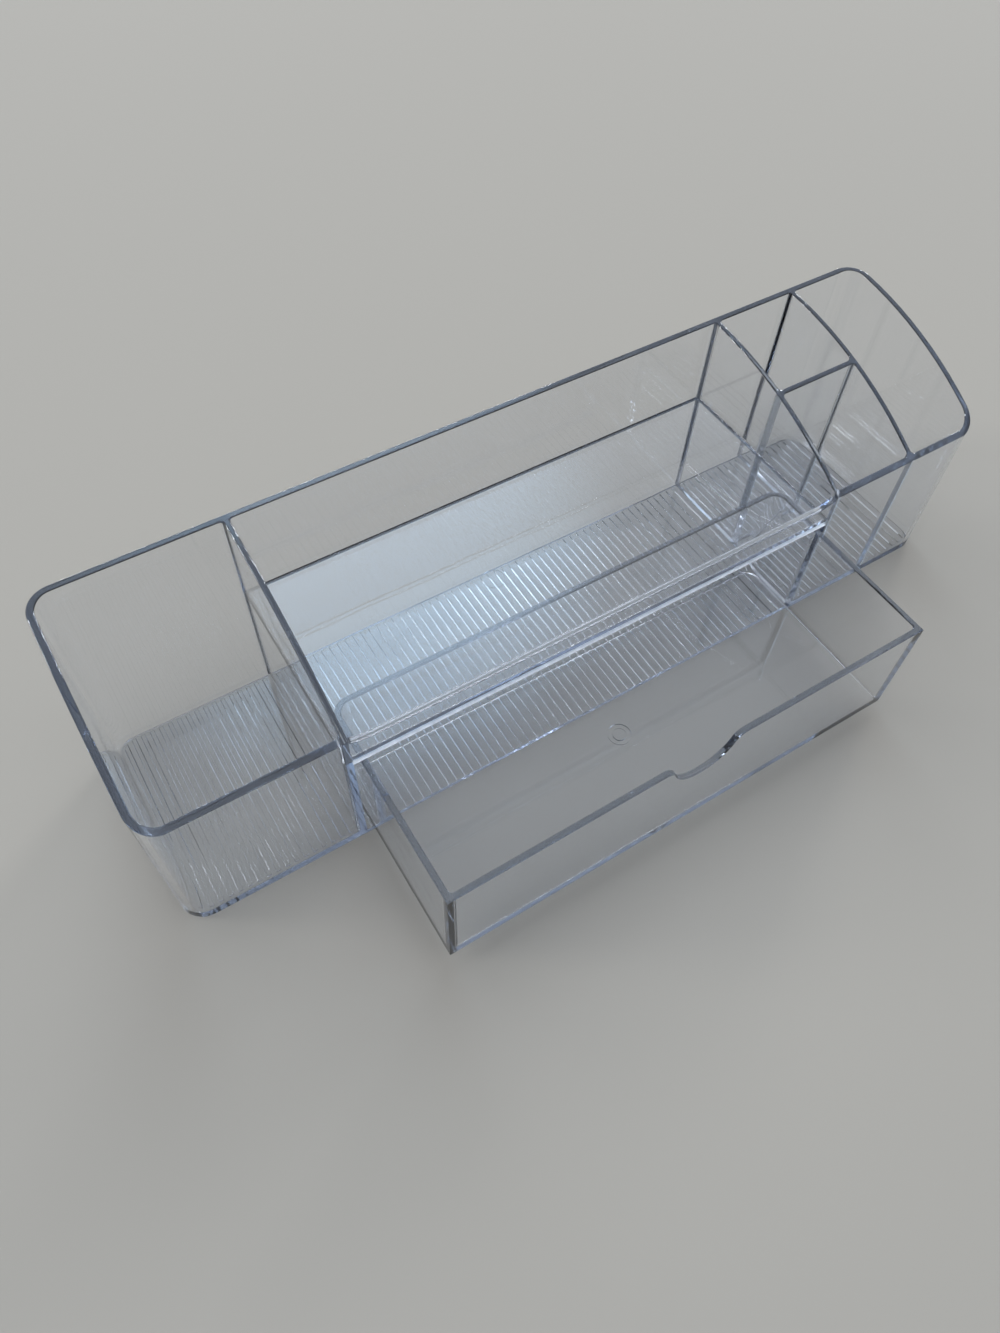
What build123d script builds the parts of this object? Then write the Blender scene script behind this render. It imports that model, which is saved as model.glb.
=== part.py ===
from build123d import *
import math
import os

# A clear moulded desk organizer: a long body with open bins, a raised tray
# and a bay under the tray, and one drawer that slides on the bay's floor.
# Millimetres. X runs along the length, -Y is the front and +Z is up.
# The origin is the middle of the body's underside.

# Body, outside
body_length = 300.0
body_depth = 72.0
back_height = 80.0
front_height = 58.0
rim_sagitta = 5.0
corner_radius = 8.0

# Body, walls and floors
outer_wall = 2.2
partition_wall = 1.8
base_floor = 2.0
tray_floor = 2.4
tray_depth = 10.3

# Body, clear sizes of the compartments; the tray and the bay take the rest
left_bin_width = 54.9
small_bin_width = 31.4
end_bin_width = 28.1
rear_bin_depth = 32.9

# Finish of the mouldings: the rim, the upright inner corners and the foot of the walls
rim_round = 0.5
corner_round = 1.2
floor_round = 0.8
floor_bevel = 0.6
base_chamfer = 0.6

# Low ribs on the floors of the bins and of the bay, with clear strips along the walls
rib_pitch = 3.08
rib_width = 1.55
rib_height = 0.45
rib_side_angle = 68.0
rib_side_margin = 1.0
rib_end_margin = 1.2

# Lip along the front of the tray, a little lower than the rim beside it
lip_drop = 2.4
lip_blend = 8.5

# Drawer
drawer_wall = 2.0
drawer_floor = 2.0
drawer_rear_radius = 6.0
drawer_rim_chamfer = 0.4
notch_radius = 11.0
notch_depth = 11.0
notch_shoulder = 4.5

# Gate marks under the drawer's floor and under the tray
gate_recess_radius = 4.0
gate_stub_radius = 2.3
gate_depth = 0.6
tray_gate_radius = 3.6
tray_gate_depth = 0.3
tray_gate_offset = -23.4

# Drawer in its bay
side_clearance = 2.3
top_clearance = 0.8
floor_clearance = 0.3
rear_clearance = 0.4
drawer_opening = 48.0

# Cutters reach this far past the faces that they open
cut_margin = 5.0

# Faces that the compartments share, worked out from the sizes above
front_face = -body_depth / 2
back_face = body_depth / 2
front_inside = front_face + outer_wall
back_inside = back_face - outer_wall
left_inside = -body_length / 2 + outer_wall
right_inside = body_length / 2 - outer_wall
left_bin_end = left_inside + left_bin_width
bay_left = left_bin_end + partition_wall
end_bin_start = right_inside - end_bin_width
small_bin_end = end_bin_start - partition_wall
small_bin_start = small_bin_end - small_bin_width
bay_right = small_bin_start - partition_wall
bay_front = front_face - cut_margin
rear_bin_front = back_inside - rear_bin_depth
front_bin_back = rear_bin_front - partition_wall
end_radius = corner_radius - outer_wall
bin_top = back_height + cut_margin
rim_rise = back_height - front_height
rim_chord = math.hypot(body_depth, rim_rise)
rim_radius = rim_chord**2 / (8 * rim_sagitta) + rim_sagitta / 2
rim_centre_y = (rim_radius - rim_sagitta) * rim_rise / rim_chord
rim_centre_z = (front_height + back_height) / 2 - (rim_radius - rim_sagitta) * body_depth / rim_chord
tray_height = front_height - tray_depth
tray_underside = tray_height - tray_floor
lip_top = front_height - lip_drop
lip_end = front_height - rim_round
rib_top = base_floor + rib_height

# The drawer, drawn out of its bay by drawer_opening
bay_middle = (bay_left + bay_right) / 2
drawer_width = bay_right - bay_left - 2 * side_clearance
drawer_depth = back_inside - rear_clearance - front_face
drawer_front = front_face - drawer_opening
drawer_middle = drawer_front + drawer_depth / 2
drawer_bottom = rib_top + floor_clearance
drawer_top = tray_underside - top_clearance


def plan(left, right, front, back, left_radius, right_radius, height):
    """Plan of one compartment, with its own corner radius at each end."""
    with BuildSketch(Plane.XY.offset(height)) as outline:
        with Locations(((left + right) / 2, (front + back) / 2)):
            Rectangle(right - left, back - front)
        for end, radius in ((0, left_radius), (-1, right_radius)):
            if radius > 0:
                fillet(outline.vertices().group_by(Axis.X)[end], radius=radius)
    return outline.sketch


def floor_ribs(left, right, front, back, left_radius, right_radius):
    """Low flat-topped ribs that run from front to back and stop just before the walls."""
    field = right - left - 2 * rib_side_margin
    count = max(1, round(field / rib_pitch))
    ends = plan(
        left + rib_end_margin,
        right - rib_end_margin,
        front + rib_end_margin,
        back - rib_end_margin,
        left_radius - rib_end_margin,
        right_radius - rib_end_margin,
        base_floor,
    )
    with BuildPart() as ribs:
        with BuildSketch(Plane.XZ):
            with Locations(((left + right) / 2, base_floor)):
                with GridLocations(field / count, 0, count, 1):
                    Trapezoid(rib_width, rib_height, rib_side_angle, align=(Align.CENTER, Align.MIN))
        extrude(amount=body_depth, both=True)
        extrude(ends, amount=rib_height, mode=Mode.INTERSECT)
    return ribs.part


def ribbed_space(sides, top):
    """The space in one compartment, over a ribbed floor with a bevel along the foot of its walls."""
    outline = plan(*sides, base_floor)
    ribs = floor_ribs(*sides)
    with BuildPart() as space:
        extrude(outline, amount=top - base_floor)
        chamfer(space.faces().sort_by(Axis.Z)[0].edges(), length=floor_bevel)
        add(ribs, mode=Mode.SUBTRACT)
    return space.part


def tray_lip():
    """Lip between the two partitions, with a rounded top that rises at each end and a round at its foot."""
    with BuildPart() as lip:
        with BuildSketch(Plane.XZ.offset(-front_inside)):
            with BuildLine():
                flat_top = Line((bay_left + lip_blend, lip_top), (bay_right - lip_blend, lip_top))
                TangentArc(flat_top @ 0, (bay_left, lip_end), tangent=(-1, 0))
                TangentArc(flat_top @ 1, (bay_right, lip_end), tangent=(1, 0))
                Polyline(
                    (bay_left, lip_end),
                    (bay_left, tray_underside),
                    (bay_right, tray_underside),
                    (bay_right, lip_end),
                )
            make_face()
        extrude(amount=outer_wall)
        long_edges = lip.edges().filter_by_position(Axis.Z, lip_top - rim_round, lip_end)
        fillet(long_edges - long_edges.filter_by(Axis.Y) - long_edges.filter_by(Axis.Z), radius=rim_round)

        foot_y = front_inside + floor_round
        foot_z = tray_height + floor_round
        with BuildSketch(Plane.YZ.offset(bay_left)):
            with BuildLine():
                CenterArc((foot_y, foot_z), floor_round, start_angle=180, arc_size=90)
                Polyline(
                    (foot_y, tray_height),
                    (foot_y, tray_underside),
                    (front_inside, tray_underside),
                    (front_inside, foot_z),
                )
            make_face()
        extrude(amount=bay_right - bay_left)
    return lip.part


# Compartments: left, right, front and back faces, then the corner radius at each end
bins = [
    (left_inside, left_bin_end, front_inside, back_inside, end_radius, corner_round),
    (small_bin_start, small_bin_end, rear_bin_front, back_inside, corner_round, corner_round),
    (small_bin_start, small_bin_end, front_inside, front_bin_back, corner_round, corner_round),
    (end_bin_start, right_inside, front_inside, back_inside, corner_round, end_radius),
]
bay = (bay_left, bay_right, bay_front, back_inside, corner_round, corner_round)
bin_spaces = [ribbed_space(sides, bin_top) for sides in bins]
bay_space = ribbed_space(bay, tray_underside)
tray_outline = plan(*bay, tray_height)
lip = tray_lip()

# Space in the tray, still open at the front, with a round along the foot of its walls
with BuildPart() as tray_space:
    extrude(tray_outline, amount=bin_top - tray_height)
    fillet(tray_space.faces().sort_by(Axis.Z)[0].edges(), radius=floor_round)

# Organizer body: one moulding
with BuildPart() as organizer_body:
    with BuildSketch():
        RectangleRounded(body_length, body_depth, corner_radius)
    extrude(amount=bin_top)
    chamfer(organizer_body.faces().sort_by(Axis.Z)[0].edges(), length=base_chamfer)

    # All walls end on one wide cylinder, a shallow arc from the front up to the back
    with BuildSketch(Plane.YZ):
        with Locations((rim_centre_y, rim_centre_z)):
            Circle(rim_radius)
    extrude(amount=body_length, both=True, mode=Mode.INTERSECT)

    # Bins that reach down to the base, and the tray
    for space in bin_spaces:
        add(space, mode=Mode.SUBTRACT)
    add(tray_space.part, mode=Mode.SUBTRACT)

    # Rounded upper rim of all walls and partitions
    rim_face = organizer_body.faces().filter_by(GeomType.CYLINDER).sort_by(Axis.Z)[-1]
    fillet(rim_face.edges(), radius=rim_round)

    # Drawer bay, open at the front, and the lip that closes the tray above it
    add(bay_space, mode=Mode.SUBTRACT)
    add(lip)

    # Gate mark under the tray: a shallow round recess
    with BuildSketch(Plane.XY.offset(tray_underside)):
        with Locations((tray_gate_offset, 0)):
            Circle(tray_gate_radius)
    extrude(amount=tray_gate_depth, mode=Mode.SUBTRACT)

# Drawer: an open box with a thumb notch in its front
with BuildPart() as drawer:
    with BuildSketch(Plane.XY.offset(drawer_bottom)) as drawer_outline:
        with Locations((bay_middle, drawer_middle)):
            Rectangle(drawer_width, drawer_depth)
        fillet(drawer_outline.vertices().group_by(Axis.Y)[-1], radius=drawer_rear_radius)
    extrude(amount=drawer_top - drawer_bottom)
    with BuildSketch(Plane.XY.offset(drawer_bottom + drawer_floor)) as drawer_inside:
        with Locations((bay_middle, drawer_middle)):
            Rectangle(drawer_width - 2 * drawer_wall, drawer_depth - 2 * drawer_wall)
        fillet(drawer_inside.vertices().group_by(Axis.Y)[-1], radius=drawer_rear_radius - drawer_wall)
        fillet(drawer_inside.vertices().group_by(Axis.Y)[0], radius=corner_round)
    extrude(amount=drawer_top, mode=Mode.SUBTRACT)
    drawer_floor_face = drawer.faces().filter_by(Plane.XY).sort_by(Axis.Z)[1]
    fillet(drawer_floor_face.edges(), radius=floor_round)

    # Thumb notch: one round scoop that runs into the rim over two soft shoulders
    notch_centre = notch_radius - notch_depth
    reach = notch_radius + notch_shoulder
    half_width = math.sqrt(reach**2 - (notch_centre + notch_shoulder) ** 2)
    meet_x = half_width * notch_radius / reach
    meet_z = notch_centre - (notch_centre + notch_shoulder) * notch_radius / reach
    notch_plane = Plane(
        origin=(bay_middle, drawer_front - cut_margin, drawer_top), x_dir=(1, 0, 0), z_dir=(0, -1, 0)
    )
    with BuildSketch(notch_plane):
        with BuildLine():
            TangentArc((-half_width, 0), (-meet_x, meet_z), tangent=(1, 0))
            ThreePointArc((-meet_x, meet_z), (0, -notch_depth), (meet_x, meet_z))
            TangentArc((half_width, 0), (meet_x, meet_z), tangent=(-1, 0))
            Polyline(
                (half_width, 0), (half_width, cut_margin), (-half_width, cut_margin), (-half_width, 0)
            )
        make_face()
    extrude(amount=-(2 * cut_margin + drawer_wall), mode=Mode.SUBTRACT)

    # Bevelled rim, which follows the notch; the short seams across the wall stay
    rim_edges = drawer.edges().filter_by_position(Axis.Z, drawer_top - notch_depth, drawer_top)
    seams = rim_edges.filter_by(Axis.Y).filter_by(lambda edge: edge.length < 2 * drawer_wall)
    chamfer(rim_edges - seams, length=drawer_rim_chamfer)

    # Gate mark under the floor: a round recess with the trimmed sprue left in it
    with BuildSketch(Plane.XY.offset(drawer_bottom)):
        with Locations((bay_middle, drawer_middle)):
            Circle(gate_recess_radius)
            Circle(gate_stub_radius, mode=Mode.SUBTRACT)
    extrude(amount=gate_depth, mode=Mode.SUBTRACT)

organizer_body.part.label = "organizer_body"
drawer.part.label = "drawer"

os.makedirs("parts", exist_ok=True)
export_step(organizer_body.part, "parts/organizer_body.step")
export_step(drawer.part, "parts/drawer.step")
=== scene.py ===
import math

import bpy
from mathutils import Matrix, Vector

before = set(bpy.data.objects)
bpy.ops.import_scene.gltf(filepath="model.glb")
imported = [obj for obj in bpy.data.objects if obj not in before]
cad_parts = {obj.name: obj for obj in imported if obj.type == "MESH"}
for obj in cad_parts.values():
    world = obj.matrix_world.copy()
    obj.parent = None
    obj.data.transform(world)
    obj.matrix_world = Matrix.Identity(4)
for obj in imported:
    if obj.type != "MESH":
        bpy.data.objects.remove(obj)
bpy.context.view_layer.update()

# Camera, in metres and degrees, in the frame of the part
CAMERA_PLACE = (-0.1296, -0.1644, 0.2873)
CAMERA_HEADING = -33.81
CAMERA_PITCH = 56.0
CAMERA_ROLL = 2.53
CAMERA_LENS = 26.43
SENSOR_WIDTH = 36.0
NEAREST_SEEN = 0.01

# Clear styrene; the light that a metre of it takes, by colour, makes the cool tint of the edges
PLASTIC_IOR = 1.59
PLASTIC_COLOUR = (0.985, 0.99, 1.0)
ABSORPTION_COLOUR = (0.10, 0.23, 0.43)
ABSORPTION_DENSITY = 17.0
SHADOW_COLOUR = (0.965, 0.968, 0.972)
EDGE_SHADOW_COLOUR = (0.15, 0.16, 0.18)
EDGE_SHADOW_START = 0.4

# Front edge of the tray's floor, lowest and highest corner: finely matt, so that it gathers light all along
TRAY_EDGE = ((-0.0911, -0.0362, 0.0452), (0.0847, -0.0335, 0.0478))
TRAY_EDGE_ROUGHNESS = 0.4

# Finish of the plastic: fine scuffs, and slow waves from its flow in the mould
SCUFF_SCALE = 220.0
SCUFF_DETAIL = 4.0
SCUFF_RANGE = (0.45, 0.75)
SCUFF_ROUGHNESS = 0.05
WAVE_SCALE = 38.0
WAVE_DETAIL = 2.0
WAVE_STRENGTH = 0.06
WAVE_HEIGHT = 0.001

# Stage
FLOOR_SIZE = 8.0
FLOOR_DROP = 0.0002
FLOOR_COLOUR = (0.48, 0.452, 0.405)
FLOOR_ROUGHNESS = 0.9
FLOOR_SPECULAR = 0.1
SKY_AXIS = (0.15, 0.50, 0.85)
SKY_NEAR_COLOUR = (0.36, 0.36, 0.37)
SKY_FAR_COLOUR = (0.70, 0.74, 0.80)
SKY_FAR_PLACE = 0.9

# Soft window on the far side, in degrees; azimuth 0 is +Y and 90 is +X
WINDOW_AZIMUTH = 20.0
WINDOW_ELEVATION = 47.0
WINDOW_EDGE = 17.0
WINDOW_CORE = 5.0
WINDOW_COLOUR = (1.6, 2.1, 2.6)

# Lamps: azimuth, elevation, distance, width and height, radiance
LAMP_COLOUR = (0.92, 0.96, 1.0)
LAMPS = {
    "right_strip": (58, 19, 6.0, (1.4, 1.4), 26.0),
    "left_strip": (-58, 19, 6.0, (1.4, 1.4), 21.0),
    "far_strip": (12, 9, 6.0, (3.4, 0.8), 17.0),
}

# The longest ways of light through the walls, which guide it from rim to base
MOST_BOUNCES = 32


def link(tree, source, target):
    tree.links.new(source, target)


def calculate(tree, operation, *terms):
    """Result of a Math node; each term is a number or another node's output."""
    node = tree.nodes.new("ShaderNodeMath")
    node.operation = operation
    for socket, term in zip(node.inputs, terms):
        if isinstance(term, float):
            socket.default_value = term
        else:
            link(tree, term, socket)
    return node.outputs["Value"]


def clear_plastic(name):
    """Glossy clear moulding: faint flow waves, fine scuffs and a cool tint that only long ways show."""
    material = bpy.data.materials.new(name)
    material.use_nodes = True
    tree = material.node_tree
    shader = tree.nodes["Principled BSDF"]
    output = tree.nodes["Material Output"]
    shader.inputs["Base Color"].default_value = (*PLASTIC_COLOUR, 1)
    shader.inputs["IOR"].default_value = PLASTIC_IOR
    shader.inputs["Transmission Weight"].default_value = 1.0

    place = tree.nodes.new("ShaderNodeTexCoord")
    scuffs = tree.nodes.new("ShaderNodeTexNoise")
    scuffs.inputs["Scale"].default_value = SCUFF_SCALE
    scuffs.inputs["Detail"].default_value = SCUFF_DETAIL
    link(tree, place.outputs["Object"], scuffs.inputs["Vector"])
    spread = tree.nodes.new("ShaderNodeMapRange")
    spread.inputs["From Min"].default_value = SCUFF_RANGE[0]
    spread.inputs["From Max"].default_value = SCUFF_RANGE[1]
    spread.inputs["To Max"].default_value = SCUFF_ROUGHNESS
    link(tree, scuffs.outputs["Fac"], spread.inputs["Value"])
    link(tree, spread.outputs["Result"], shader.inputs["Roughness"])

    flow = tree.nodes.new("ShaderNodeTexNoise")
    flow.inputs["Scale"].default_value = WAVE_SCALE
    flow.inputs["Detail"].default_value = WAVE_DETAIL
    link(tree, place.outputs["Object"], flow.inputs["Vector"])
    waves = tree.nodes.new("ShaderNodeBump")
    waves.inputs["Strength"].default_value = WAVE_STRENGTH
    waves.inputs["Distance"].default_value = WAVE_HEIGHT
    link(tree, flow.outputs["Fac"], waves.inputs["Height"])
    link(tree, waves.outputs["Normal"], shader.inputs["Normal"])

    # Light from lamps and from the floor passes straight through; walls that it grazes take much of it
    passing = tree.nodes.new("ShaderNodeBsdfTransparent")
    slant = tree.nodes.new("ShaderNodeLayerWeight")
    steep = tree.nodes.new("ShaderNodeMapRange")
    steep.inputs["From Min"].default_value = EDGE_SHADOW_START
    link(tree, slant.outputs["Facing"], steep.inputs["Value"])
    dimmed = tree.nodes.new("ShaderNodeMix")
    dimmed.data_type = "RGBA"
    dimmed.inputs["A"].default_value = (*SHADOW_COLOUR, 1)
    dimmed.inputs["B"].default_value = (*EDGE_SHADOW_COLOUR, 1)
    link(tree, steep.outputs["Result"], dimmed.inputs["Factor"])
    link(tree, dimmed.outputs["Result"], passing.inputs["Color"])
    ray = tree.nodes.new("ShaderNodeLightPath")
    either = calculate(tree, "MAXIMUM", ray.outputs["Is Shadow Ray"], ray.outputs["Is Diffuse Ray"])
    mix = tree.nodes.new("ShaderNodeMixShader")
    link(tree, either, mix.inputs["Fac"])
    link(tree, shader.outputs["BSDF"], mix.inputs[1])
    link(tree, passing.outputs["BSDF"], mix.inputs[2])
    link(tree, mix.outputs["Shader"], output.inputs["Surface"])

    inside = tree.nodes.new("ShaderNodeVolumeAbsorption")
    inside.inputs["Color"].default_value = (*ABSORPTION_COLOUR, 1)
    inside.inputs["Density"].default_value = ABSORPTION_DENSITY
    link(tree, inside.outputs["Volume"], output.inputs["Volume"])
    return material


def matt_tray_edge(material):
    """Adds roughness inside the box of the tray's front edge."""
    tree = material.node_tree
    roughness = tree.nodes["Principled BSDF"].inputs["Roughness"]
    gloss = roughness.links[0].from_socket
    place = tree.nodes.new("ShaderNodeTexCoord")
    axes = tree.nodes.new("ShaderNodeSeparateXYZ")
    link(tree, place.outputs["Object"], axes.inputs["Vector"])
    along, across, up = (
        calculate(tree, "COMPARE", axes.outputs[axis], (low + high) / 2, (high - low) / 2)
        for axis, low, high in zip("XYZ", *TRAY_EDGE)
    )
    level = calculate(tree, "MULTIPLY", along, across)
    edge = calculate(tree, "MULTIPLY", level, up)
    link(tree, calculate(tree, "MULTIPLY_ADD", edge, TRAY_EDGE_ROUGHNESS, gloss), roughness)
    return material


def dress(node, material):
    node.data.materials.clear()
    node.data.materials.append(material)


dress(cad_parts["organizer_body"], matt_tray_edge(clear_plastic("clear_body")))
dress(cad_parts["drawer"], clear_plastic("clear_drawer"))


def make_floor():
    half = FLOOR_SIZE / 2
    mesh = bpy.data.meshes.new("floor")
    mesh.from_pydata(
        [(-half, -half, 0), (half, -half, 0), (half, half, 0), (-half, half, 0)], [], [(0, 1, 2, 3)]
    )
    floor = bpy.data.objects.new("floor", mesh)
    bpy.context.scene.collection.objects.link(floor)
    floor.location.z = -FLOOR_DROP
    material = bpy.data.materials.new("floor")
    material.use_nodes = True
    shader = material.node_tree.nodes["Principled BSDF"]
    shader.inputs["Base Color"].default_value = (*FLOOR_COLOUR, 1)
    shader.inputs["Roughness"].default_value = FLOOR_ROUGHNESS
    shader.inputs["Specular IOR Level"].default_value = FLOOR_SPECULAR
    mesh.materials.append(material)


def outward(azimuth, elevation):
    """Direction from the origin; azimuth 0 is +Y and 90 is +X."""
    a, e = math.radians(azimuth), math.radians(elevation)
    return Vector((math.sin(a) * math.cos(e), math.cos(a) * math.cos(e), math.sin(e)))


def make_world():
    """Soft sky, brightest up on the far side, with one soft-edged window in it."""
    world = bpy.data.worlds.new("studio")
    bpy.context.scene.world = world
    world.use_nodes = True
    tree = world.node_tree
    background = tree.nodes["Background"]
    place = tree.nodes.new("ShaderNodeTexCoord")
    along = tree.nodes.new("ShaderNodeVectorMath")
    along.operation = "DOT_PRODUCT"
    along.inputs[1].default_value = Vector(SKY_AXIS).normalized()
    link(tree, place.outputs["Generated"], along.inputs[0])
    ramp = tree.nodes.new("ShaderNodeValToRGB")
    ramp.color_ramp.elements[0].color = (*SKY_NEAR_COLOUR, 1)
    ramp.color_ramp.elements[0].position = 0.0
    ramp.color_ramp.elements[1].color = (*SKY_FAR_COLOUR, 1)
    ramp.color_ramp.elements[1].position = SKY_FAR_PLACE
    link(tree, along.outputs["Value"], ramp.inputs["Fac"])

    towards = tree.nodes.new("ShaderNodeVectorMath")
    towards.operation = "DOT_PRODUCT"
    towards.inputs[1].default_value = outward(WINDOW_AZIMUTH, WINDOW_ELEVATION)
    link(tree, place.outputs["Generated"], towards.inputs[0])
    edge = tree.nodes.new("ShaderNodeMapRange")
    edge.interpolation_type = "SMOOTHSTEP"
    edge.inputs["From Min"].default_value = math.cos(math.radians(WINDOW_EDGE))
    edge.inputs["From Max"].default_value = math.cos(math.radians(WINDOW_CORE))
    link(tree, towards.outputs["Value"], edge.inputs["Value"])
    window = tree.nodes.new("ShaderNodeMix")
    window.data_type = "RGBA"
    window.inputs["B"].default_value = (*WINDOW_COLOUR, 1)
    link(tree, edge.outputs["Result"], window.inputs["Factor"])
    link(tree, ramp.outputs["Color"], window.inputs["A"])
    link(tree, window.outputs["Result"], background.inputs["Color"])


def softbox(name, azimuth, elevation, distance, size, radiance):
    """Rectangular lamp aimed at the origin."""
    data = bpy.data.lights.new(name, "AREA")
    data.shape = "RECTANGLE"
    data.size, data.size_y = size
    data.energy = radiance * math.pi * size[0] * size[1]
    data.color = LAMP_COLOUR
    lamp = bpy.data.objects.new(name, data)
    bpy.context.scene.collection.objects.link(lamp)
    away = outward(azimuth, elevation)
    lamp.location = away * distance
    lamp.rotation_euler = away.to_track_quat("Z", "Y").to_euler()


def make_camera():
    data = bpy.data.cameras.new("camera")
    data.lens = CAMERA_LENS
    data.sensor_width = SENSOR_WIDTH
    data.clip_start = NEAREST_SEEN
    camera = bpy.data.objects.new("camera", data)
    turn = (
        Matrix.Rotation(math.radians(CAMERA_HEADING), 4, "Z")
        @ Matrix.Rotation(math.radians(90 - CAMERA_PITCH), 4, "X")
        @ Matrix.Rotation(math.radians(CAMERA_ROLL), 4, "Z")
    )
    camera.matrix_world = Matrix.Translation(CAMERA_PLACE) @ turn
    bpy.context.scene.collection.objects.link(camera)
    bpy.context.scene.camera = camera


make_floor()
make_world()
for name, settings in LAMPS.items():
    softbox(name, *settings)
make_camera()

scene = bpy.context.scene
scene.view_settings.view_transform = "Standard"
scene.cycles.max_bounces = MOST_BOUNCES
scene.cycles.glossy_bounces = MOST_BOUNCES
scene.cycles.transmission_bounces = MOST_BOUNCES
scene.cycles.transparent_max_bounces = MOST_BOUNCES
